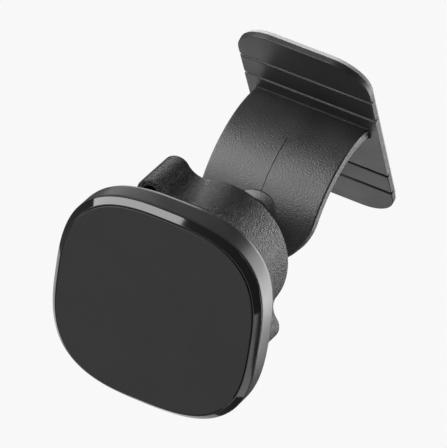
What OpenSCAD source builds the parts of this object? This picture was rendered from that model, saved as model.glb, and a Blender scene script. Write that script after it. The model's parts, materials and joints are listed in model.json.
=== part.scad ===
// Magnetic car phone mount: a stick-on base plate that bends at four living
// hinges, a curved arm that ends in a ball, and a magnetic head that a wing
// nut clamps on the ball. Millimetres. The origin is the centre of the
// adhesive face, +Z points away from the dashboard, and the head leans to -Y.

/* [Head] */
// Width of the head across its bezel
head_w = 45; // [44:0.5:46]
// Height of the head as a share of its width
head_aspect = 0.991; // [0.97:0.003:1]
// Squareness of the outline: 2 is an ellipse, higher is squarer
head_square = 2.92; // [2.7:0.02:3.1]
// Depth of the head from its front to the flat of its back
head_depth = 8.2; // [8:0.1:8.4]
// Lean of the head and of the stem away from +Z
head_lean = 32.7; // [30:0.1:35]

/* [Ball joint] */
// Diameter of the ball
ball_d = 17; // [16.8:0.1:17]
// Centre of the ball to the front of the head
ball_to_front = 22.5; // [22.5:0.1:23]
// Ball centre's distance from the plate's centre line, towards -Y
ball_out = 16.85; // [16:0.05:18]
// Height of the ball's centre above the adhesive face
ball_up = 46.35; // [45:0.05:48]
// Diameter of the stem's neck under the ball
neck_d = 8; // [7:0.1:8]
// Diameter of the boss where the stem meets the arm
boss_d = 11.6; // [11:0.1:12]

/* [Wing nut] */
// Outside diameter of the nut's body
nut_d = 29.7; // [29.5:0.1:30.5]
// Length of the nut along its axis
nut_len = 11.9; // [11.9:0.1:12.5]
// Distance from the nut's axis to a wing's tip
wing_reach = 21.1; // [20.5:0.1:22]
// Radius of a wing's round nose
wing_nose = 3.1; // [2.9:0.1:3.3]
// Radius of the hollow sweep between a wing and the nut's body
wing_sweep = 4.5; // [4:0.1:5]
// Direction of the wings, counted from +X about the nut's axis
wing_angle = 132; // [120:1:140]
// Pitch of the nut's thread
pitch = 2; // [1.8:0.1:2.1]

/* [Base plate] */
// Width of the plate across the arm
plate_w = 30; // [29:0.5:32]
// Length of the plate
plate_l = 58.8; // [58:0.2:62]
// Thickness of the plate
plate_t = 1.3; // [1.2:0.05:1.5]
// Radius of the plate's corners
plate_corner = 8.2; // [7.5:0.1:9]
// Distance of the inner hinge lines from the plate's centre
inner_hinge = 11.45; // [11:0.05:12]
// Distance of the outer hinge lines from the plate's centre
outer_hinge = 18.8; // [18:0.05:19.5]
// Width of a hinge groove
groove_w = 0.9; // [0.8:0.05:1]
// Thickness of the web that is left under a groove
web_t = 0.4; // [0.3:0.05:0.5]
// Thickness of the adhesive foam
foam_t = 0.95; // [0.8:0.05:1.2]

/* [Arm] */
// Width of the arm
arm_w = 25.8; // [24:0.2:27]
// Thickness of the arm
arm_t = 2.5; // [2.2:0.1:2.8]
// Radius of the arm's outer face
arm_r = 21.5; // [21:0.1:22]
// Arc's centre line, distance from the plate's centre towards +Y
arc_out = 10.3; // [10:0.1:10.6]
// Arc's centre line, height above the plate's front face
arc_up = 12.8; // [12.5:0.1:13]
// Angle along the arc at which the arm's round end is centred
end_angle = 29.1; // [28:0.1:30]

/* [Hidden] */
$fn = 96;

eps = 0.02;                     // overlap that joins two shapes of one solid
past = 1;                       // length a cutting shape runs past the solid it cuts
stock = 0.1;                    // clearance between sealed parts that are screwed down
hole = 0.2;                     // radial clearance of a screw's hole
bite = 0.02;                    // radial gap where a screw cuts its own thread
run = 0.05;                     // radial clearance of a running fit
seat = 0.05;                    // gap between two parts that rest together
front_side = -1;                // flaps at the -Y end
back_side = 1;                  // flaps at the +Y end

// Heights of the base, above the adhesive face
plate_top = foam_t + plate_t;
foam_inset = 0.5;               // foam's edge to the plate's edge
foam_slit = 0.4;                // cut in the foam under a hinge line

// Ball joint, as radii and as heights along the head's axis from the ball's centre
ball_r = ball_d / 2;
neck_r = neck_d / 2;
boss_r = boss_d / 2;
boss_top_r = 4.3;               // top of the boss's cone
boss_sink = 0.5;                // foot of the cone, below the arm's outer face on the stem's axis
boss_foot = 3;                  // boss's length inside the arm, before it is cut off
boss_len = 0.35;                // top of the cone, above the arm's outer face
stem_len = 20.4;                // ball's centre to the arm's outer face
cap_t = 0.7;                    // friction cap's thickness
cap_angle = 25;                 // half-angle of the friction cap
cap_r = ball_r + run + cap_t;
disc_r = 8.05;                  // pressure disc
disc_top = 11.1;
disc_rim = 5;
collet_bore_r = disc_r + run;
collet_floor = disc_top + seat;
collet_r = 10.6;                // root of the collet's thread
collet_neck_r = 11.25;
finger_tip_r = 9;
finger_tip = -4.2;
finger_cone = -0.8;
slot_top = 2.5;
slot_w = 1.2;
slot_count = 6;
flange_r = 15;
flange_back = 12.65;
flange_front = 14.6;
flange_pocket_r = 8;
flange_pocket = 12.6;
collet_screw_ring = 13.2;       // radius of the circle of the collet's screws
collet_screw_count = 3;
collet_screw_r = 0.95;
collet_screw_len = 4.4;
collet_screw_head_r = 1.6;
collet_screw_head_t = 1.1;

// Thread: ridge height, and ridge widths at its root and at its crest
ridge_h = 0.6;
ridge_root = 0.8;
ridge_crest = 0.4;
ridge_bury = 0.1;               // depth of a ridge's foot in its own wall
ridge_steps = 36;               // steps in one turn
ridge_turn = 7;                 // angle at which both ridges begin
male_start = 0.6;
male_turns = 2.6;
female_turns = 1.6;
female_start = male_start;

// Nut and clamp ring
nut_r = nut_d / 2;
nut_front = 4.6;
nut_rear = nut_front - nut_len;
thread_gap = 0.15;              // radial gap over a ridge's crest
nut_bore_r = collet_r + ridge_h + thread_gap;
nut_lip = -4.6;                 // front of the lip that pushes the clamp ring
nut_lip_r = 10.3;
wing_wall = 1.7;
wing_floor = 2.2;               // solid left at a wing's rear end
wing_inner_wall = 2.2;          // wall between the hollow and the nut's bore
wing_nose_at = wing_reach - wing_nose;
sweep_x = (pow(nut_r + wing_sweep, 2) + pow(wing_nose_at, 2) - pow(wing_nose + wing_sweep, 2))
          / (2 * wing_nose_at);
sweep_y = sqrt(pow(nut_r + wing_sweep, 2) - pow(sweep_x, 2));
ring_r = nut_bore_r - run * 2;
ring_rear = nut_lip + seat;
ring_front = -1.4;

// Head, as half widths and as heights along its axis from the ball's centre
head_half = head_w / 2;
front = ball_to_front;
shell_back = front - head_depth;
shell_half = head_half + stock;
shell_front = front - 1.6;
shell_wall = 1.3;
shell_round = 2.5;              // round of the shell's rear edge
shell_floor = shell_back + shell_wall;
shell_neck_r = 13;
shell_neck = 6.8;
shell_neck_bore_r = collet_neck_r + run;
cone_r = 18.5;                  // shell's rear cone where it meets the flat back
bezel_front = front - 0.2;
bezel_back = front - 1.55;
bezel_skirt = front - 2.9;
bezel_lip = 0.15;               // straight outer edge, and width of the flat by the pad
skirt_half = shell_half - shell_wall - stock;
skirt_in = skirt_half - 0.95;
pad_half = head_half - 1.4;
pad_gap = 0.15;
pad_t = 0.9;
film_t = 0.15;
film_half = pad_half - 0.5;
ledge = front - pad_t - film_t; // the pad's seat on the bezel and the tray
tray_half = skirt_in - stock;
tray_back = 18;
steel_half = 18.8;
steel_t = 1.1;
steel_front = tray_back - run;
steel_back = steel_front - steel_t;
magnet_r = 5.5;
magnet_t = 2.55;
magnet_at = 7.2;
tray_screw_at = 13;
tray_screw_r = 1;
tray_screw_end = 14.95;
tray_screw_head_r = 1.9;
tray_screw_head_t = 1.3;
tray_screw_head = 20;
post_r = 2.6;
outline_points = 96;

// ---- shared geometry ----

// Frame of the head: origin at the ball's centre, +Z towards the phone
module on_head() {
    translate([0, -ball_out, ball_up]) rotate([head_lean, 0, 0]) children();
}

// Points of the head's squarish outline with half width half
function outline(half) = [
    for (i = [0 : outline_points - 1])
        let (t = 360 * i / outline_points)
        [half * sign(cos(t)) * pow(abs(cos(t)), 2 / head_square),
         half * head_aspect * sign(sin(t)) * pow(abs(sin(t)), 2 / head_square)]
];

// Slab of the head's outline between two heights
module slab(half, low, high) {
    translate([0, 0, low]) linear_extrude(high - low) polygon(outline(half));
}

// Straight round bar between two heights
module bar(r, low, high) {
    translate([0, 0, low]) cylinder(h = high - low, r = r);
}

// Points of a quarter round from angle a to angle b about a centre
function arc(centre, r, a, b, steps = 8) = [
    for (i = [0 : steps]) centre + r * [cos(a + (b - a) * i / steps), sin(a + (b - a) * i / steps)]
];

// Right-hand helical ridge: profile is its section, counter-clockwise in [radius, height]
module helix_ridge(profile, start, turns) {
    sides = len(profile);
    steps = round(turns * ridge_steps);
    points = [
        for (i = [0 : steps], p = profile)
            let (t = ridge_turn + 360 * i / ridge_steps)
            [p[0] * cos(t), p[0] * sin(t), start + pitch * i / ridge_steps + p[1]]
    ];
    skins = [
        for (i = [0 : steps - 1], j = [0 : sides - 1], half = [0, 1])
            let (a = i * sides + j, b = i * sides + (j + 1) % sides, c = b + sides, d = a + sides)
            half == 0 ? [a, b, c] : [a, c, d]
    ];
    first_cap = [for (j = [sides - 1 : -1 : 0]) j];
    last_cap = [for (j = [0 : sides - 1]) steps * sides + j];
    polyhedron(points, concat(skins, [first_cap, last_cap]));
}

// Section of a ridge that stands on the surface at radius r, outwards (1) or inwards (-1)
function ridge(r, way) =
    let (root = r - ridge_bury * way, crest = r + ridge_h * way)
    way > 0
    ? [[root, -ridge_root / 2], [crest, -ridge_crest / 2], [crest, ridge_crest / 2], [root, ridge_root / 2]]
    : [[crest, -ridge_crest / 2], [root, -ridge_root / 2], [root, ridge_root / 2], [crest, ridge_crest / 2]];

// ---- base ----

// Rounded outline of the base plate, inset on every side
module plate_outline(inset) {
    r = plate_corner - inset;
    square([plate_w - 2 * plate_corner, plate_l - 2 * inset], center = true);
    square([plate_w - 2 * inset, plate_l - 2 * plate_corner], center = true);
    for (x = [-1, 1], y = [-1, 1])
        translate([x * (plate_w / 2 - plate_corner), y * (plate_l / 2 - plate_corner)]) circle(r);
}

// Slice of the plate's outline between two distances from its centre line
module base_slice(from, to, low, high, inset = 0) {
    translate([0, 0, low])
        linear_extrude(high - low)
            intersection() {
                plate_outline(inset);
                translate([-plate_w, from]) square([2 * plate_w, to - from]);
            }
}

// The same slice on the front (-1) or the back (1) side
module side_slice(side, from, to, low, high, inset = 0) {
    if (side > 0)
        base_slice(from, to, low, high, inset);
    else
        base_slice(-to, -from, low, high, inset);
}

module inner_flap(side) {
    side_slice(side, inner_hinge + groove_w / 2, outer_hinge - groove_w / 2, foam_t, plate_top);
}

module outer_flap(side) {
    side_slice(side, outer_hinge + groove_w / 2, plate_l / 2, foam_t, plate_top);
}

module web(side, line) {
    side_slice(side, line - groove_w / 2, line + groove_w / 2, foam_t, foam_t + web_t);
}

module inner_foam(side) {
    side_slice(side, inner_hinge + foam_slit / 2, outer_hinge - foam_slit / 2, 0, foam_t, foam_inset);
}

module outer_foam(side) {
    side_slice(side, outer_hinge + foam_slit / 2, plate_l / 2, 0, foam_t, foam_inset);
}

module front_inner_flap() { color("#2b2b2d") inner_flap(front_side); }

module front_outer_flap() { color("#2b2b2d") outer_flap(front_side); }

module back_inner_flap() { color("#2b2b2d") inner_flap(back_side); }

module back_outer_flap() { color("#2b2b2d") outer_flap(back_side); }

module front_inner_web() { color("#1c1c1e") web(front_side, inner_hinge); }

module front_outer_web() { color("#1c1c1e") web(front_side, outer_hinge); }

module back_inner_web() { color("#1c1c1e") web(back_side, inner_hinge); }

module back_outer_web() { color("#1c1c1e") web(back_side, outer_hinge); }

module centre_foam() {
    reach = inner_hinge - foam_slit / 2;
    color("#b4b4b6") base_slice(-reach, reach, 0, foam_t, foam_inset);
}

module front_inner_foam() { color("#b4b4b6") inner_foam(front_side); }

module front_outer_foam() { color("#b4b4b6") outer_foam(front_side); }

module back_inner_foam() { color("#b4b4b6") inner_foam(back_side); }

module back_outer_foam() { color("#b4b4b6") outer_foam(back_side); }

// ---- arm, stem and ball, one moulding with the middle of the plate ----

// Frame of the arm's arc: X along its width, Y along the arc's radius at angle a
module on_arc(a) {
    translate([0, arc_out, plate_top + arc_up]) rotate([-a, 0, 0]) children();
}

// Round bar across the arm, about the arc's centre line
module arc_bar(r, width) {
    on_arc(0) rotate([0, 90, 0]) cylinder(h = width, r = r, center = true, $fn = 192);
}

// Curved strip from the plate to its full-round end
module arm() {
    reach = 4 * arm_r;
    intersection() {
        difference() {
            arc_bar(arm_r, arm_w);
            arc_bar(arm_r - arm_t, arm_w + past);
        }
        on_arc(end_angle) {
            rotate([90, 0, 0]) cylinder(h = reach, d = arm_w);
            translate([-arm_w / 2, -reach, -reach]) cube([arm_w, reach, reach]);
        }
        translate([-arm_w, -reach, foam_t + plate_t / 2]) cube([2 * arm_w, arc_out + reach, reach]);
    }
}

// Low cone under the stem, square to the arm, which the stem meets at a slant
module boss() {
    slant = (arc_out + ball_out) * cos(head_lean) - (ball_up - plate_top - arc_up) * sin(head_lean);
    on_head()
        translate([0, 0, -stem_len])
            rotate([asin(slant / arm_r), 0, 0])
                rotate_extrude()
                    polygon([
                        [0, -boss_foot],
                        [boss_r, -boss_foot],
                        [boss_r, -boss_sink],
                        [boss_top_r, boss_len],
                        [0, boss_len]]);
}

module stem_and_ball() {
    boss();
    on_head() {
        bar(neck_r, -stem_len - 2 * boss_foot, 0);
        sphere(r = ball_r);
    }
}

module bracket() {
    reach = inner_hinge - groove_w / 2;
    color("#232325") {
        base_slice(-reach, reach, foam_t, plate_top);
        arm();
        difference() {
            stem_and_ball();
            arc_bar(arm_r - arm_t / 2, arm_w);
        }
    }
}

// ---- ball socket ----

module friction_cap() {
    color("#454548")
        on_head()
            rotate_extrude()
                polygon(concat(
                    arc([0, 0], cap_r, 90 - cap_angle, 90, 12),
                    arc([0, 0], ball_r + run, 90, 90 - cap_angle, 12)));
}

module pressure_disc() {
    color("#d8d8d4")
        on_head()
            difference() {
                bar(disc_r, disc_rim, disc_top);
                sphere(r = cap_r + run);
            }
}

module collet_screw_spots() {
    for (i = [0 : collet_screw_count - 1])
        rotate(90 + 360 * i / collet_screw_count) translate([collet_screw_ring, 0, 0]) children();
}

module socket_collet() {
    color("#1d1d1f")
        on_head()
            difference() {
                union() {
                    bar(flange_r, flange_back, flange_front);
                    bar(collet_neck_r, shell_neck, flange_back + eps);
                    bar(collet_r, finger_cone, shell_neck + eps);
                    translate([0, 0, finger_tip])
                        cylinder(h = finger_cone - finger_tip + eps, r1 = finger_tip_r, r2 = collet_r);
                    helix_ridge(ridge(collet_r, 1), male_start, male_turns);
                }
                sphere(r = ball_r + run);
                bar(collet_bore_r, 0, collet_floor);
                bar(flange_pocket_r, flange_pocket, flange_front + past);
                for (i = [0 : slot_count / 2 - 1])
                    rotate(360 * i / slot_count)
                        translate([-2 * collet_r, -slot_w / 2, finger_tip - past])
                            cube([4 * collet_r, slot_w, slot_top - finger_tip + past]);
                collet_screw_spots() bar(collet_screw_r + hole, flange_back - past, flange_front + past);
            }
}

module collet_screws() {
    color("#8c8e92")
        on_head()
            collet_screw_spots() {
                bar(collet_screw_r, flange_front - collet_screw_len, flange_front + seat + eps);
                bar(collet_screw_head_r, flange_front + seat, flange_front + seat + collet_screw_head_t);
            }
}

module clamp_ring() {
    slope = (collet_r - finger_tip_r) / (finger_cone - finger_tip);
    color("#cfcfca")
        on_head()
            rotate_extrude()
                polygon([
                    [finger_tip_r + run + slope * (ring_rear - finger_tip), ring_rear],
                    [ring_r, ring_rear],
                    [ring_r, ring_front],
                    [finger_tip_r + run + slope * (ring_front - finger_tip), ring_front]]);
}

// Outline of one half of the nut, from its body's round through a wing: each
// wing's nose runs into the body through two hollow sweeps
function half_outline() =
    let (foot = atan2(sweep_y, sweep_x), lean = atan2(sweep_y, wing_nose_at - sweep_x), gap = 3)
    concat(
        arc([0, 0], nut_r, foot - 180 + gap, -foot - gap, 32),
        arc([sweep_x, -sweep_y], wing_sweep, 180 - foot, lean, 12),
        arc([wing_nose_at, 0], wing_nose, lean - 180 + gap, 180 - lean - gap, 24),
        arc([sweep_x, sweep_y], wing_sweep, -lean, foot - 180, 12));

module nut_outline() {
    half = half_outline();
    rotate(wing_angle) polygon(concat(half, -half));
}

// Hollow in a wing, open to the front
module wing_core(way) {
    r = wing_nose - wing_wall;
    inner = nut_bore_r + wing_inner_wall;
    translate([0, 0, nut_rear + wing_floor])
        linear_extrude(nut_len)
            rotate(wing_angle + way)
                polygon(concat([[inner, -r]], arc([wing_nose_at, 0], r, -90, 90, 16), [[inner, r]]));
}

module wing_nut() {
    color("#1f1f21")
        on_head()
            union() {
                difference() {
                    translate([0, 0, nut_rear]) linear_extrude(nut_len) nut_outline();
                    bar(nut_bore_r, nut_lip, nut_front + past);
                    bar(nut_lip_r, nut_rear - past, nut_lip + past);
                    wing_core(0);
                    wing_core(180);
                }
                helix_ridge(ridge(nut_bore_r, -1), female_start + pitch / 2, female_turns);
            }
}

// ---- head ----

module screw_posts(r, low, high) {
    for (x = [-1, 1], y = [-1, 1])
        translate([x * tray_screw_at, y * tray_screw_at, 0]) bar(r, low, high);
}

module rear_shell() {
    thin = 0.01;
    color("#2c2c2e")
        on_head()
            difference() {
                union() {
                    difference() {
                        hull()
                            for (a = [0 : 22.5 : 90])
                                slab(shell_half - shell_round * (1 - cos(a)),
                                     shell_back + shell_round * (1 - sin(a)),
                                     a == 0 ? shell_front : shell_back + shell_round * (1 - sin(a)) + thin);
                        slab(shell_half - shell_wall, shell_floor, front);
                    }
                    translate([0, 0, shell_neck])
                        cylinder(h = shell_floor - shell_neck, r1 = shell_neck_r, r2 = cone_r);
                    screw_posts(post_r, shell_floor - eps, steel_back);
                }
                bar(flange_r + stock, flange_back - seat, front);
                bar(shell_neck_bore_r, 0, front);
                screw_posts(tray_screw_r + bite, tray_screw_end - seat, front);
                collet_screw_spots()
                    bar(collet_screw_r + bite, flange_front - collet_screw_len - seat, flange_front);
            }
}

module bezel() {
    color("#0c0c0d")
        on_head()
            difference() {
                union() {
                    hull() {
                        slab(head_half, bezel_back, bezel_back + bezel_lip);
                        slab(pad_half + pad_gap + bezel_lip, bezel_back, bezel_front);
                    }
                    slab(skirt_half, bezel_skirt, bezel_back + eps);
                }
                slab(skirt_in, bezel_skirt - past, front);
                slab(pad_half + pad_gap, ledge, front);
            }
}

module face_pad() {
    color("#3a3a3b") on_head() slab(pad_half, front - pad_t, front);
}

module pad_film() {
    color("#d9d3c0") on_head() slab(film_half, ledge, front - pad_t);
}

module magnet_spot(i) {
    rotate(45 + 90 * i) translate([magnet_at * sqrt(2), 0, 0]) children();
}

module magnet_tray() {
    color("#e2e2de")
        on_head()
            difference() {
                slab(tray_half, tray_back, ledge);
                for (i = [0 : 3])
                    magnet_spot(i) bar(magnet_r + stock, tray_back - past, tray_back + magnet_t + stock);
                screw_posts(tray_screw_r + hole, tray_back - past, front);
                screw_posts(tray_screw_head_r + hole, tray_screw_head - seat, front);
            }
}

module magnet(i) {
    color("#b9bcc1")
        on_head()
            magnet_spot(i) bar(magnet_r, tray_back + seat, tray_back + seat + magnet_t);
}

module magnet_1() { magnet(0); }

module magnet_2() { magnet(1); }

module magnet_3() { magnet(2); }

module magnet_4() { magnet(3); }

module steel_plate() {
    color("#9a9da1")
        on_head()
            difference() {
                slab(steel_half, steel_back, steel_front);
                screw_posts(tray_screw_r + hole, steel_back - past, front);
            }
}

module tray_screws() {
    color("#8c8e92")
        on_head() {
            screw_posts(tray_screw_r, tray_screw_end, tray_screw_head + eps);
            screw_posts(tray_screw_head_r, tray_screw_head, tray_screw_head + tray_screw_head_t);
        }
}

bracket();
front_inner_flap();
front_outer_flap();
back_inner_flap();
back_outer_flap();
front_inner_web();
front_outer_web();
back_inner_web();
back_outer_web();
centre_foam();
front_inner_foam();
front_outer_foam();
back_inner_foam();
back_outer_foam();
friction_cap();
pressure_disc();
socket_collet();
collet_screws();
clamp_ring();
wing_nut();
rear_shell();
bezel();
face_pad();
pad_film();
magnet_tray();
magnet_1();
magnet_2();
magnet_3();
magnet_4();
steel_plate();
tray_screws();
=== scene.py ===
import json
import math
import bmesh
import bpy
from mathutils import Matrix, Vector


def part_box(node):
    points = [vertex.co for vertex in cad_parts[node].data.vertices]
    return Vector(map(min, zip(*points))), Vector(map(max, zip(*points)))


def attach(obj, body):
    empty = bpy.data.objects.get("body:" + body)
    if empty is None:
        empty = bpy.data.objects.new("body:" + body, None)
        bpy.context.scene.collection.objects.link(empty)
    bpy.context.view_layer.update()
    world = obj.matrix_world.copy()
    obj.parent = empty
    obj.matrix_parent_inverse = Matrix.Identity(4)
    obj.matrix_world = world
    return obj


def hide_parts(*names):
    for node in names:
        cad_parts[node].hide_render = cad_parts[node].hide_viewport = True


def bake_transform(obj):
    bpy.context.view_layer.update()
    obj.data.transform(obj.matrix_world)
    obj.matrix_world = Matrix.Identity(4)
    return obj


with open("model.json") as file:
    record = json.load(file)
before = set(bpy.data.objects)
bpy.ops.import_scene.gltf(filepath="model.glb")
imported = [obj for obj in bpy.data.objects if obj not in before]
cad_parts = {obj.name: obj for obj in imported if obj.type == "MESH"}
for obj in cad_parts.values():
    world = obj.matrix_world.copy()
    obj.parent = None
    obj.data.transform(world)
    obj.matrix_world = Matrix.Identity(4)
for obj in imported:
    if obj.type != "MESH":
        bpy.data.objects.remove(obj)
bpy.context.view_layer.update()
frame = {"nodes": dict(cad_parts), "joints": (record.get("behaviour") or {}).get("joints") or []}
joints = {joint["name"]: joint for joint in frame["joints"]}
mm = 0.001


# ---- base plate flaps ----
# Four flat ends of the moulded polypropylene base plate, two at each end. Each one
# hangs on the thin web under the groove beside it and is bevelled along its top edge.

def box_of(node):
    """Lowest and highest corner of a CAD node, in millimetres."""
    low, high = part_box(node)
    return low / mm, high / mm


def make_piece(name, bm, sharp=32):
    """Turns a bmesh in millimetres into an object in metres with clean shading."""
    bmesh.ops.remove_doubles(bm, verts=bm.verts, dist=1e-5)
    bmesh.ops.recalc_face_normals(bm, faces=bm.faces)
    bmesh.ops.scale(bm, vec=(mm, mm, mm), verts=bm.verts)
    mesh = bpy.data.meshes.new(name)
    bm.to_mesh(mesh)
    bm.free()
    mesh.shade_smooth()
    mesh.set_sharp_from_angle(angle=math.radians(sharp))
    piece = bpy.data.objects.new(name, mesh)
    bpy.context.scene.collection.objects.link(piece)
    tidy = piece.modifiers.new("face weighted normals", "WEIGHTED_NORMAL")
    tidy.keep_sharp = True
    return piece


def loft(rings, wrap=False):
    """Skin over closed rings of points, capped at both ends unless it wraps round."""
    bm = bmesh.new()
    rows = [[bm.verts.new(p) for p in ring] for ring in rings]
    for low, high in zip(rows, rows[1:] + rows[:1] if wrap else rows[1:]):
        for i, start in enumerate(low):
            j = (i + 1) % len(low)
            bm.faces.new((start, low[j], high[j], high[i]))
    if not wrap:
        bm.faces.new(rows[0])
        bm.faces.new(rows[-1])
    return bm


def inset(outline, distance):
    """Moves every side of a counter-clockwise outline inwards and mitres the corners."""
    moved = []
    for i, here in enumerate(outline):
        before = (Vector(here) - Vector(outline[i - 1])).normalized()
        after = (Vector(outline[(i + 1) % len(outline)]) - Vector(here)).normalized()
        side = Vector((-before.y - after.y, before.x + after.x))
        side = side.normalized()
        mitre = max(side.dot(Vector((-before.y, before.x))), 0.3)
        moved.append(Vector(here) + side * (distance / mitre))
    return moved


def quarter(r, steps=4):
    """Inset and drop of a round edge, from the flat face out to the wall."""
    angles = [math.pi / 2 * i / steps for i in range(steps + 1)]
    return [(r * (1 - math.sin(a)), r * (1 - math.cos(a))) for a in angles]


def plate_piece(outline, low, high, top_round, bottom_round):
    """Flat plate with rounded top and bottom edges."""
    under = [(depth, low + drop) for depth, drop in quarter(bottom_round)]
    over = [(depth, high - drop) for depth, drop in reversed(quarter(top_round))]
    return loft([[(p.x, p.y, z) for p in inset(outline, depth)] for depth, z in under + over])


def end_outline(width, near, far, corner, side, steps=14):
    """Outline between two distances from the middle, with round corners at the far end."""
    right = [(width / 2, near)]
    for i in range(steps + 1 if corner else 0):
        a = math.pi / 2 * i / steps
        right.append((width / 2 - corner * (1 - math.cos(a)), far - corner * (1 - math.sin(a))))
    if not corner:
        right.append((width / 2, far))
    points = right + [(-x, y) for x, y in reversed(right)]
    return points if side > 0 else [(x, -y) for x, y in reversed(points)]


def noise(nodes, links, scale, detail=3.0, roughness=0.55, where=None):
    """Noise in the object's own space, with its scale in features per metre."""
    place = nodes.new("ShaderNodeTexCoord")
    made = nodes.new("ShaderNodeTexNoise")
    made.inputs["Scale"].default_value = scale
    made.inputs["Detail"].default_value = detail
    made.inputs["Roughness"].default_value = roughness
    links.new(where or place.outputs["Object"], made.inputs["Vector"])
    return made


def spread(nodes, links, source, low, high, from_low=0.3, from_high=0.7):
    """Maps a noise value onto a range."""
    made = nodes.new("ShaderNodeMapRange")
    made.inputs["From Min"].default_value = from_low
    made.inputs["From Max"].default_value = from_high
    made.inputs["To Min"].default_value = low
    made.inputs["To Max"].default_value = high
    links.new(source, made.inputs["Value"])
    return made.outputs["Result"]


def moulded_plastic(name, colour, rough, grain, depth, rough_change=0.06, tone=0.25,
                    specular=0.5, coarse=0.35):
    """Moulded plastic: fine grain of a given size and depth in millimetres, over a
    slow change of tone and gloss that handling and the mould's flow leave."""
    made = bpy.data.materials.new(name)
    made.use_nodes = True
    nodes, links = made.node_tree.nodes, made.node_tree.links
    shader = nodes["Principled BSDF"]
    shader.inputs["Specular IOR Level"].default_value = specular
    flow = noise(nodes, links, 90, 4)
    fine = noise(nodes, links, 1 / (grain * mm), 2, 0.6)
    large = noise(nodes, links, 0.36 / (grain * mm), 2, 0.5)
    both = nodes.new("ShaderNodeMix")
    both.inputs["Factor"].default_value = coarse
    links.new(fine.outputs["Fac"], both.inputs["A"])
    links.new(large.outputs["Fac"], both.inputs["B"])
    tint = nodes.new("ShaderNodeMix")
    tint.data_type = "RGBA"
    tint.inputs["A"].default_value = (*[c * (1 - tone) for c in colour], 1)
    tint.inputs["B"].default_value = (*[c * (1 + tone) for c in colour], 1)
    links.new(spread(nodes, links, flow.outputs["Fac"], 0, 1), tint.inputs["Factor"])
    links.new(tint.outputs["Result"], shader.inputs["Base Color"])
    gloss = spread(nodes, links, flow.outputs["Fac"], rough - rough_change, rough + rough_change)
    links.new(gloss, shader.inputs["Roughness"])
    bump = nodes.new("ShaderNodeBump")
    bump.inputs["Strength"].default_value = 1
    bump.inputs["Distance"].default_value = depth * mm
    links.new(both.outputs["Result"], bump.inputs["Height"])
    links.new(bump.outputs["Normal"], shader.inputs["Normal"])
    return made


plate_low, plate_high = box_of("front_outer_flap")
plate_width = plate_high.x - plate_low.x
plate_corner = 8.2
plate_edge = 0.22
groove_edge = 0.06
plate_plastic = moulded_plastic("satin base plastic", (0.018, 0.018, 0.019), 0.42, 0.35, 0.006)


def flap(name, body, corner):
    low, high = box_of(name)
    side = 1 if low.y > 0 else -1
    near, far = sorted((abs(low.y), abs(high.y)))
    outline = end_outline(plate_width, near, far, corner, side)
    piece = make_piece(name + "_moulded", plate_piece(outline, low.z, high.z, plate_edge, groove_edge))
    piece.data.materials.append(plate_plastic)
    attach(piece, body)
    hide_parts(name)


flap("front_inner_flap", "front_flap", 0)
flap("front_outer_flap", "front_tip", plate_corner)
flap("back_inner_flap", "back_flap", 0)
flap("back_outer_flap", "back_tip", plate_corner)


# ---- living hinges ----
# Thin webs left under the cross grooves of the base plate. They are one with the
# plate's plastic, and the real plate bends at them on a curved surface; here they stay
# in their rest shape. Each groove is moulded with sloping walls, which belong to the web.

# The webs get a darker colour than the plate's own plastic: painted shade in the grooves they line.
groove_shade_plastic = moulded_plastic("base plastic with painted groove shade", (0.010, 0.010, 0.011), 0.38, 0.25, 0.004)
web_rows = 12
wall_foot = 0.3
wall_top = 0.12


def web(name):
    low, high = box_of(name)
    floor = [(low.y + wall_foot + (high.y - low.y - 2 * wall_foot) * i / web_rows, high.z)
             for i in range(web_rows + 1)]
    top = plate_high.z - wall_top
    section = [(low.y, top)] + floor + [(high.y, top)]
    rings = [[(low.x, y, low.z), (high.x, y, low.z), (high.x, y, z), (low.x, y, z)] for y, z in section]
    piece = make_piece(name + "_moulded", loft(rings))
    piece.data.materials.append(groove_shade_plastic)
    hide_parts(name)
    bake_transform(piece)


web("front_inner_web")
web("front_outer_web")
web("back_inner_web")
web("back_outer_web")


# ---- adhesive foam ----
# Light grey closed-cell foam tape under the plate, cut across at the hinge lines. It
# is stuck on with its own film, a little inside the plate's edge.

foam_inset = 0.5
foam_round = 0.12
foam = bpy.data.materials.new("grey closed-cell foam")
foam.use_nodes = True
foam_nodes, foam_links = foam.node_tree.nodes, foam.node_tree.links
foam_shader = foam_nodes["Principled BSDF"]
foam_shader.inputs["Specular IOR Level"].default_value = 0.3
foam_cells = foam_nodes.new("ShaderNodeTexVoronoi")
foam_cells.inputs["Scale"].default_value = 5200
foam_place = foam_nodes.new("ShaderNodeTexCoord")
foam_links.new(foam_place.outputs["Object"], foam_cells.inputs["Vector"])
foam_tone = foam_nodes.new("ShaderNodeMix")
foam_tone.data_type = "RGBA"
foam_tone.inputs["A"].default_value = (0.36, 0.36, 0.365, 1)
foam_tone.inputs["B"].default_value = (0.5, 0.5, 0.505, 1)
foam_links.new(spread(foam_nodes, foam_links, foam_cells.outputs["Distance"], 0, 1, 0, 0.6),
               foam_tone.inputs["Factor"])
foam_links.new(foam_tone.outputs["Result"], foam_shader.inputs["Base Color"])
foam_links.new(spread(foam_nodes, foam_links, foam_cells.outputs["Distance"], 0.7, 0.9, 0, 0.6),
               foam_shader.inputs["Roughness"])
foam_bump = foam_nodes.new("ShaderNodeBump")
foam_bump.inputs["Distance"].default_value = 0.04 * mm
foam_links.new(foam_cells.outputs["Distance"], foam_bump.inputs["Height"])
foam_links.new(foam_bump.outputs["Normal"], foam_shader.inputs["Normal"])


def foam_strip(name, body, corner):
    low, high = box_of(name)
    side = 1 if high.y > -low.y else -1
    near, far = sorted((abs(low.y), abs(high.y)))
    if name == "centre_foam":
        near, side = -far, 1
    outline = end_outline(high.x - low.x, near, far, corner, side)
    piece = make_piece(name + "_tape", plate_piece(outline, low.z, high.z, foam_round, foam_round))
    piece.data.materials.append(foam)
    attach(piece, body)
    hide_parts(name)


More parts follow.
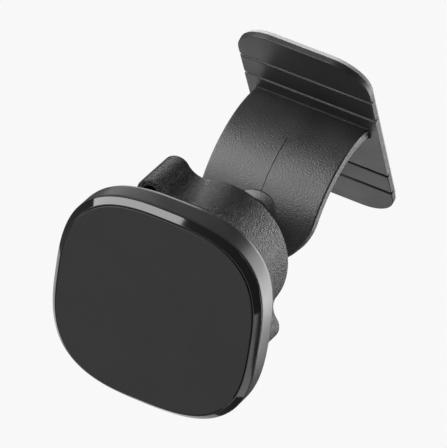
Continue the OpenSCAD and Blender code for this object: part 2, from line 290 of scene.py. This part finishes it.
foam_strip("centre_foam", "base", 0)
foam_strip("front_inner_foam", "front_flap", 0)
foam_strip("front_outer_foam", "front_tip", plate_corner - foam_inset)
foam_strip("back_inner_foam", "back_flap", 0)
foam_strip("back_outer_foam", "back_tip", plate_corner - foam_inset)


# ---- bracket ----
# The middle of the base plate, the curved arm, the stem and the ball are one injection
# moulding in finely grained black nylon. A parting line runs down the arm's middle.

ball = Vector(joints["ball_tilt"]["pos_m"]) / mm
head_axis = Vector(joints["ball_swivel"]["axis"])
lean = math.atan2(-head_axis.y, head_axis.z)
to_part = Matrix.Translation(ball) @ Matrix.Rotation(lean, 4, "X")
plate_top = plate_high.z
arm_width = 25.8
arm_thick = 2.5
arm_r = 21.5
arm_edge = 0.45
arc_y = 10.3
arc_z = plate_top + 12.8
root_angle = -math.asin((arc_z - plate_top) / arm_r) - 0.03
round_from = math.radians(31.8)
arm_rows = 72
round_rows = 26
arm_columns = 12
outer_root_round = 0.4
inner_root_round = 1.1
parting_half = 0.1
parting_from = -0.12
parting_to = 0.62
parting_out = 0.2
parting_thick = 0.35
parting_edge = 0.01
parting_rows = 60


def on_arc(x, angle, out):
    """Point of the arm: x across it, angle along the arc, out from the outer face."""
    r = arm_r + out
    return (x, arc_y - r * math.cos(angle), arc_z + r * math.sin(angle))


def bent_strip(half, thick, start, end, out, edge, rows, end_rows=0):
    """Strip bent along the arm's arc. With end_rows it finishes in a full round."""
    stations = [(half, start + (end - start) * i / rows) for i in range(rows + 1)]
    for i in range(1, end_rows + 1):
        a = math.pi / 2 * i / end_rows
        stations.append((half * math.cos(a), end + half * math.sin(a) / arm_r))
    bm = bmesh.new()

    def row(depth, height, columns):
        """Lines of points along the strip, at one inset from its edge."""
        scale = 1 - depth / half
        lines = []
        for width, angle in stations:
            along = angle + (max(angle, end) - end) * (scale - 1)
            across = [width * scale * (1 - 2 * c / columns) for c in range(columns + 1)]
            lines.append([bm.verts.new(on_arc(x, along, height)) for x in across])
        return lines

    edges = [(depth, out - drop) for depth, drop in quarter(edge)]
    edges += [(depth, out - thick + drop) for depth, drop in reversed(quarter(edge))]
    walls = [row(depth, height, 1) for depth, height in edges]
    for near, far in zip(walls, walls[1:]):
        for i in range(len(stations) - 1):
            for k in (0, -1):
                bm.faces.new((near[i][k], near[i + 1][k], far[i + 1][k], far[i][k]))
    for height in (out, out - thick):
        lines = row(edge, height, arm_columns)
        for low_line, high_line in zip(lines, lines[1:]):
            for c in range(arm_columns):
                bm.faces.new((low_line[c], low_line[c + 1], high_line[c + 1], high_line[c]))
    bmesh.ops.remove_doubles(bm, verts=bm.verts, dist=1e-4)
    bmesh.ops.holes_fill(bm, edges=[e for e in bm.edges if e.is_boundary], sides=0)
    return bm


def curve_between(a, corner, b, steps=6):
    """Points from a to b that leave along the line to the corner and arrive from it."""
    shares = [i / steps for i in range(steps + 1)]
    return [a * (1 - t) ** 2 + corner * (2 * t * (1 - t)) + b * t ** 2 for t in shares]


def root_fillet(out, reach, way):
    """Small sweep between the plate and one face of the arm, as a bar across the arm."""
    angle = -math.asin((arc_z - plate_top) / (arm_r + out))
    corner = Vector(on_arc(0, angle, out))
    up = Vector(on_arc(0, angle + reach / (arm_r + out), out))
    along = corner + Vector((0, way * reach, 0))
    line = curve_between(along, corner, up)
    buried = [corner + Vector((0, -way * 0.5, 0.4)), corner + Vector((0, -way * 0.5, -0.3)),
              along + Vector((0, 0, -0.3))]
    end = arm_width / 2 - 0.05
    return loft([[(x, p.y, p.z) for p in line + buried] for x in (-end, end)])


stem_neck = 4.0
stem_length = 20.4
boss_r = 5.8
boss_top_r = 4.3
boss_sink = 0.5
boss_height = 0.35
ball_r = 8.5
stem_turns = 96


def ring_about(place, r, height):
    """Ring of points round the upright axis of a place, in the part's frame."""
    return [place @ Vector((r * math.cos(t), r * math.sin(t), height))
            for t in [math.tau * i / stem_turns for i in range(stem_turns)]]


def ball_and_stem():
    """Ball, its underside and the straight stem that runs down into the arm."""
    joint = math.pi / 2 + math.acos(stem_neck / ball_r)
    profile = [(ball_r * math.sin(a), ball_r * math.cos(a))
               for a in [0.02 + (joint - 0.02) * i / 36 for i in range(37)]]
    profile += [(stem_neck + 0.35 * (1 - math.sin(a)), profile[-1][1] - 0.35 * math.cos(a) + 0.1)
                for a in (0.6, 1.0, 1.4)]
    profile += [(stem_neck, -stem_length - 1.2)]
    return loft([ring_about(to_part, r, z) for r, z in profile])


def boss():
    """Low cone under the stem, square to the arm's face, with a crisp foot."""
    foot = to_part @ Vector((0, 0, -stem_length))
    slant = math.atan2(arc_y - foot.y, foot.z - arc_z)
    on_arm = Matrix.Translation(foot) @ Matrix.Rotation(slant, 4, "X")
    rise, run = boss_height + boss_sink, boss_r - boss_top_r
    profile = [(boss_r, -1.9), (boss_r, -boss_sink - 0.12), (boss_r - 0.04, -boss_sink - 0.02),
               (boss_r - 0.12, -boss_sink + 0.1)]
    profile += [(boss_r - run * t, -boss_sink + rise * t) for t in (0.2, 0.5, 0.8, 0.94)]
    profile += [(boss_top_r - 0.05, boss_height - 0.02), (boss_top_r - 0.2, boss_height)]
    profile += [(stem_neck - 0.5, boss_height)]
    return loft([ring_about(on_arm, r, z) for r, z in profile])


def fuse(name, first, others, how="UNION", sharp=32):
    """Joins solids into one closed mesh, or cuts the others out of the first."""
    body = make_piece(name, first, sharp)
    body.modifiers.clear()
    for i, other in enumerate(others):
        tool = make_piece(f"{name}_tool_{i}", other, sharp)
        tool.modifiers.clear()
        join = body.modifiers.new("join", "BOOLEAN")
        join.operation = how
        join.solver = "EXACT"
        join.object = tool
        bpy.context.view_layer.update()
        done = bpy.data.meshes.new_from_object(
            body.evaluated_get(bpy.context.evaluated_depsgraph_get()))
        body.modifiers.clear()
        body.data = done
        bpy.data.objects.remove(tool)
    body.data.name = name
    result = bmesh.new()
    result.from_mesh(body.data)
    bmesh.ops.scale(result, vec=(1 / mm,) * 3, verts=result.verts)
    bpy.data.objects.remove(body)
    return result


centre_low, centre_high = box_of("front_inner_web")[1].y, box_of("back_inner_web")[0].y
centre_outline = end_outline(plate_width, centre_low, centre_high, 0, 1)
centre_plate = plate_piece(centre_outline, plate_low.z, plate_high.z, groove_edge, groove_edge)
arm = bent_strip(arm_width / 2, arm_thick, root_angle, round_from, 0, arm_edge, arm_rows, round_rows)
parting_line = bent_strip(parting_half, parting_thick, parting_from, parting_to,
                          parting_out, parting_edge, parting_rows)
root_fillets = [root_fillet(0, outer_root_round, -1), root_fillet(-arm_thick, inner_root_round, 1)]
bracket_solid = fuse("bracket_moulded", centre_plate, [arm] + root_fillets)
bracket_solid = fuse("bracket_moulded", bracket_solid, [parting_line], "DIFFERENCE")
bracket_solid = fuse("bracket_moulded", bracket_solid, [boss(), ball_and_stem()])
bracket = make_piece("bracket_moulded", bracket_solid)
bracket_plastic = moulded_plastic("grained black nylon", (0.024, 0.024, 0.025), 0.41, 0.3, 0.1,
                                  specular=0.7, coarse=0.1)
bracket.data.materials.append(bracket_plastic)
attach(bracket, "base")
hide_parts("bracket")


# ---- ball friction parts ----
# A thin silicone cap on the ball's crown and an acetal pressure disc behind it keep
# the head from creeping. Both drop loose into the socket before the ball is snapped in.

def finish(node, material):
    """Puts a material on a CAD node that keeps its own shape."""
    piece = frame["nodes"][node]
    piece.data.materials.clear()
    piece.data.materials.append(material)


finish("friction_cap", moulded_plastic("grey silicone", (0.06, 0.06, 0.065), 0.6, 0.3, 0.004))
acetal = moulded_plastic("natural acetal", (0.68, 0.68, 0.65), 0.4, 0.4, 0.003, tone=0.05)
finish("pressure_disc", acetal)


# ---- clamp ring ----
# Acetal olive inside the nut. The nut's lip pushes it over the collet's cone, which
# closes the fingers on the ball.

finish("clamp_ring", acetal)


# ---- socket collet ----
# Black nylon socket with six spring fingers and a coarse outside thread, held to the
# rear shell by three pan-head screws.

finish("socket_collet", moulded_plastic("collet nylon", (0.016, 0.016, 0.017), 0.45, 0.3, 0.006))


def metal(name, colour, rough, scale):
    """Bare or plated metal with fine drawn streaks in its gloss."""
    made = bpy.data.materials.new(name)
    made.use_nodes = True
    nodes, links = made.node_tree.nodes, made.node_tree.links
    shader = nodes["Principled BSDF"]
    shader.inputs["Metallic"].default_value = 1
    place = nodes.new("ShaderNodeTexCoord")
    stretch = nodes.new("ShaderNodeMapping")
    stretch.inputs["Scale"].default_value = (1, 8, 8)
    links.new(place.outputs["Object"], stretch.inputs["Vector"])
    streaks = noise(nodes, links, scale, 3, 0.6, stretch.outputs["Vector"])
    tint = nodes.new("ShaderNodeMix")
    tint.data_type = "RGBA"
    tint.inputs["A"].default_value = (*[c * 0.9 for c in colour], 1)
    tint.inputs["B"].default_value = (*colour, 1)
    links.new(streaks.outputs["Fac"], tint.inputs["Factor"])
    links.new(tint.outputs["Result"], shader.inputs["Base Color"])
    links.new(spread(nodes, links, streaks.outputs["Fac"], rough - 0.08, rough + 0.08),
              shader.inputs["Roughness"])
    return made


zinc = metal("zinc-plated screw steel", (0.55, 0.56, 0.58), 0.35, 900)
finish("collet_screws", zinc)


# ---- wing nut ----
# Black nylon nut with two cored wings, moulded with a coarse spark grain. It runs on the
# collet's thread, though its bore is plain here, and its rear lip carries the clamp ring.

nut_r = 14.85
nut_front = 4.6
nut_rear = -7.3
nut_rear_edge = 0.75
nut_front_edge = 0.35
nut_bore_r = 11.35
nut_lip = -4.6
nut_lip_r = 10.3
wing_reach = 21.1
wing_nose = 3.1
wing_sweep = 4.5
wing_angle = math.radians(132)
wing_wall = 1.5
wing_floor = 2.2
wing_core_gap = 2.2
lip_ease = 0.5
bore_ease = 0.4
cutter_past = 1


def arc_points(centre, r, start, end, steps):
    return [Vector((centre[0] + r * math.cos(start + (end - start) * i / steps),
                    centre[1] + r * math.sin(start + (end - start) * i / steps)))
            for i in range(steps + 1)]


def nut_outline():
    """The nut's round body and two wings, joined by hollow sweeps."""
    nose_at = wing_reach - wing_nose
    far = nut_r + wing_sweep
    x = (far ** 2 + nose_at ** 2 - (wing_nose + wing_sweep) ** 2) / (2 * nose_at)
    y = math.sqrt(far ** 2 - x ** 2)
    foot, rise, gap = math.atan2(y, x), math.atan2(y, nose_at - x), 0.03
    half = arc_points((0, 0), nut_r, foot - math.pi + gap, -foot - gap, 60)
    half += arc_points((x, -y), wing_sweep, math.pi - foot, rise, 20)
    half += arc_points((nose_at, 0), wing_nose, rise - math.pi + gap, math.pi - rise - gap, 36)
    half += arc_points((x, y), wing_sweep, -rise, foot - math.pi, 20)
    turn = Matrix.Rotation(wing_angle, 2)
    return [turn @ p for p in half] + [turn @ -p for p in half]


def on_head(bm):
    """Moves a mesh from the head's own frame, at the ball, to the part's frame."""
    bmesh.ops.transform(bm, matrix=to_part, verts=bm.verts)
    return bm


def edge_steps(low, high, low_round, high_round):
    """Inset and height of the rings of a slab with rounded edges."""
    under = [(depth, low + drop) for depth, drop in quarter(low_round, 6)]
    over = [(depth, high - drop) for depth, drop in reversed(quarter(high_round, 6))]
    return under + over


def wing_core(way):
    """Cutter for the hollow of one wing, with a mouth that is a little eased."""
    r = wing_nose - wing_wall
    nose_at = wing_reach - wing_nose
    inner = nut_bore_r + wing_core_gap
    outline = [Vector((inner, -r))] + arc_points((nose_at, 0), r, -math.pi / 2, math.pi / 2, 20)
    outline += [Vector((inner, r))]
    turn = Matrix.Rotation(wing_angle + way, 2)
    outline = [turn @ p for p in outline]
    floor = nut_rear + wing_floor
    steps = [(0.3, floor), (0.1, floor + 0.08), (0, floor + 0.3), (0, nut_front - 0.2),
             (-0.2, nut_front), (-0.2, nut_front + cutter_past)]
    return loft([[(p.x, p.y, z) for p in inset(outline, depth)] for depth, z in steps])


def turned_plug(profile, turns=128):
    """Solid turned about the head's axis, from its bottom to its top."""
    return loft([[(r * math.cos(t), r * math.sin(t), z) for t in
                  [math.tau * i / turns for i in range(turns)]] for r, z in profile])


nut_blank = loft([[(p.x, p.y, z) for p in inset(nut_outline(), depth)]
                  for depth, z in edge_steps(nut_rear, nut_front, nut_rear_edge, nut_front_edge)])
nut_bore = turned_plug([
    (nut_lip_r + lip_ease, nut_rear - cutter_past), (nut_lip_r + lip_ease, nut_rear),
    (nut_lip_r, nut_rear + lip_ease), (nut_lip_r, nut_lip), (nut_bore_r, nut_lip),
    (nut_bore_r, nut_front - bore_ease), (nut_bore_r + bore_ease, nut_front),
    (nut_bore_r + bore_ease, nut_front + cutter_past)])
nut_cutters = [nut_bore, wing_core(0), wing_core(math.pi)]
nut_solid = fuse("wing_nut_moulded", nut_blank, nut_cutters, "DIFFERENCE")
wing_nut = make_piece("wing_nut_moulded", on_head(nut_solid))
nut_plastic = moulded_plastic("spark-grained nylon", (0.012, 0.012, 0.0125), 0.24, 0.36, 0.36,
                              specular=0.5, coarse=0.05)
wing_nut.data.materials.append(nut_plastic)
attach(wing_nut, "nut")
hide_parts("wing_nut")


# ---- rear shell ----
# Satin black shell of the head, moulded with a square-round rim that narrows to a round
# neck. The collet's flange sits in its floor. Its four screw posts are left out here.

head_points = 192
squareness = 2.92
aspect = 0.991
shell_half = 22.6
shell_back = 14.3
shell_front = 20.9
shell_round = 2.5
neck_end = 6.8
neck_steps = 14
skirt_half = 20.1
skirt_fall = 6.9
neck_r = 13.0
seat_r = 11.3
seat_ease = 0.2
flange_r = 15.1
flange_floor = 12.6
tray_floor = 15.6
tray_half = 20.3
inside_half = 21.3
inside_floor = 16.4


def squircle(half, z, square=squareness, flat=aspect):
    """Ring of the head's square-round outline at a height on the head's axis."""
    ring = []
    for i in range(head_points):
        t = math.tau * i / head_points
        c, s = math.cos(t), math.sin(t)
        ring.append((half * math.copysign(abs(c) ** (2 / square), c),
                     half * flat * math.copysign(abs(s) ** (2 / square), s), z))
    return ring


def round_ring(r, z):
    return squircle(r, z, 2, 1)


rear_angles = [math.pi / 2 * i / 12 for i in range(13)]
rear_arc = [(shell_half - shell_round * (1 - math.cos(a)), shell_back + shell_round * (1 - math.sin(a)))
            for a in rear_angles]
shell_rings = [squircle(shell_half - 0.2, shell_front), squircle(shell_half - 0.06, shell_front - 0.06),
               squircle(shell_half, shell_front - 0.2), squircle(shell_half, shell_front - 0.5)]
shell_rings += [squircle(half, z) for half, z in rear_arc]
for i in range(1, neck_steps + 1):
    t = i / neck_steps
    ease = t * t * (3 - 2 * t)
    height = shell_back - (shell_back - neck_end - 0.2) * t ** 1.6
    shell_rings.append(squircle(skirt_half - skirt_fall * t ** 0.8, height,
                                squareness - (squareness - 2) * ease, aspect + (1 - aspect) * ease))
shell_rings += [round_ring(neck_r, neck_end), round_ring(seat_r + seat_ease, neck_end),
                round_ring(seat_r, neck_end + seat_ease), round_ring(seat_r, flange_floor),
                round_ring(flange_r, flange_floor), round_ring(flange_r, tray_floor),
                squircle(tray_half, tray_floor), squircle(inside_half, inside_floor),
                squircle(inside_half, shell_front)]
rear_shell = make_piece("rear_shell_moulded", on_head(loft(shell_rings, wrap=True)))
shell_plastic = moulded_plastic("satin shell plastic", (0.020, 0.020, 0.021), 0.34, 0.3, 0.004,
                                specular=0.75)
rear_shell.data.materials.append(shell_plastic)
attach(rear_shell, "head")
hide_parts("rear_shell")


# ---- bezel ----
# Gloss black ring that frames the pad. Its skirt snaps inside the shell and its ledge
# carries the pad's edge, with a narrow gap all round the pad.

skirt_out = 21.2
skirt_in = 20.25
skirt_end = 19.6
bezel_back = 20.95
bezel_wall = 21.25
ledge = 21.45
bezel_rings = [(skirt_out, skirt_end), (skirt_out, bezel_back), (22.42, bezel_back), (22.49, 21.0),
               (22.5, 21.06), (22.47, 21.14), (21.47, 22.2), (21.43, 22.23), (21.37, 22.25),
               (21.28, 22.24), (bezel_wall, 22.2), (bezel_wall, ledge), (skirt_in, ledge),
               (skirt_in, skirt_end)]
bezel = make_piece("bezel_moulded", on_head(loft([squircle(*ring) for ring in bezel_rings], wrap=True)))
bezel_gloss = moulded_plastic("gloss black bezel", (0.006, 0.006, 0.0065), 0.07, 0.5, 0.0004, 0.03,
                              specular=0.6)
bezel.data.materials.append(bezel_gloss)
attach(bezel, "head")
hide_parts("bezel")


# ---- face pad ----
# Matte dark grey silicone pad that the phone rests on, die-cut with a slightly
# rounded edge and stuck to the tray and the bezel's ledge with a clear film.

pad_half = 21.1
pad_back = 21.6
pad_front = 22.5
pad_steps = edge_steps(pad_back, pad_front, 0.05, 0.16)
pad_rings = [squircle(pad_half - depth, z) for depth, z in pad_steps]
face_pad = make_piece("face_pad_cut", on_head(loft(pad_rings)))
pad_rubber = moulded_plastic("matte silicone pad", (0.013, 0.013, 0.0133), 0.6, 0.4, 0.04)
face_pad.data.materials.append(pad_rubber)
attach(face_pad, "head")
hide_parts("face_pad")
finish("pad_film", moulded_plastic("adhesive film", (0.6, 0.55, 0.42), 0.25, 0.5, 0.002, tone=0.05))


# ---- magnets, tray and back plate ----
# Four nickel-plated neodymium discs sit in a white plastic tray. A steel plate behind
# them closes the magnetic circuit, and four screws clamp tray and plate to the shell.

tray_plastic = moulded_plastic("natural tray plastic", (0.7, 0.7, 0.68), 0.45, 0.4, 0.004, tone=0.05)
finish("magnet_tray", tray_plastic)
nickel = metal("nickel-plated magnet", (0.62, 0.62, 0.6), 0.2, 500)
for number in range(1, 5):
    finish(f"magnet_{number}", nickel)
finish("steel_plate", metal("mill-finish steel", (0.42, 0.43, 0.45), 0.4, 700))
finish("tray_screws", zinc)


# ---- studio ----
# Plain pale floor one centimetre below the mount, so that flaps bent down stay in view,
# and six large soft lights, with a long lens that looks down at the head from its front left.

studio = bpy.data.worlds.new("studio")
bpy.context.scene.world = studio
studio.use_nodes = True
studio.node_tree.nodes["Background"].inputs["Color"].default_value = (0.9, 0.9, 0.9, 1)
studio.node_tree.nodes["Background"].inputs["Strength"].default_value = 0.15
bpy.context.scene.view_settings.view_transform = "Standard"

floor_drop = 0.01
floor_mesh = bpy.data.meshes.new("floor")
floor_mesh.from_pydata([(-6, -6, 0), (6, -6, 0), (6, 6, 0), (-6, 6, 0)], [], [(0, 1, 2, 3)])
floor = bpy.data.objects.new("floor", floor_mesh)
floor.location = (0, 0, -floor_drop)
bpy.context.scene.collection.objects.link(floor)
floor_paint = bpy.data.materials.new("pale floor")
floor_paint.use_nodes = True
floor_nodes = floor_paint.node_tree.nodes
floor_nodes.remove(floor_nodes["Principled BSDF"])
floor_glow = floor_nodes.new("ShaderNodeEmission")
floor_glow.inputs["Color"].default_value = (0.939, 0.939, 0.939, 1)
floor_surface = floor_nodes["Material Output"].inputs["Surface"]
floor_paint.node_tree.links.new(floor_glow.outputs["Emission"], floor_surface)
floor_mesh.materials.append(floor_paint)
floor.visible_diffuse = False
floor.visible_glossy = False
floor.visible_shadow = False

aim = Vector((-0.00698, -0.03726, 0.04605))
view_back = Vector((-0.3257, -0.8710, 0.3679)).normalized()
view_up = Vector((0.3489, -0.4724, -0.8094))


def look(thing, towards_viewer, up):
    """Turns a camera or a light to face the aim from a direction."""
    z = towards_viewer.normalized()
    x = up.cross(z).normalized()
    thing.rotation_euler = Matrix((x, z.cross(x), z)).transposed().to_euler()


camera = bpy.data.objects.new("camera", bpy.data.cameras.new("camera"))
camera.data.lens = 401.8
camera.data.sensor_width = 36
camera.data.clip_end = 20
camera.location = aim + view_back * 0.97
look(camera, view_back, view_up)
bpy.context.scene.collection.objects.link(camera)
bpy.context.scene.camera = camera


def softbox(name, direction, distance, width, height, power):
    """Large soft light that faces the head from a direction."""
    light = bpy.data.objects.new(name, bpy.data.lights.new(name, "AREA"))
    light.data.shape = "RECTANGLE"
    light.data.size = width
    light.data.size_y = height
    light.data.energy = power
    way = Vector(direction).normalized()
    light.location = aim + way * distance
    look(light, way, Vector((0, 0, 1)))
    bpy.context.scene.collection.objects.link(light)


softbox("key softbox", (0.68, -0.7, 0.06), 0.7, 0.7, 0.58, 9)
softbox("rim softbox", (-0.56, 0.53, -0.64), 0.6, 0.4, 0.7, 4.2)
softbox("top softbox", (0.33, 0.03, 0.95), 0.7, 0.5, 0.5, 0.7)
softbox("back softbox", (0.44, 0.42, -0.8), 0.6, 0.28, 0.28, 0.45)
softbox("far softbox", (0.42, 0.88, 0.22), 0.7, 0.7, 0.45, 0.9)
softbox("side softbox", (-0.55, 0.3, 0.78), 0.7, 0.5, 0.5, 1.3)
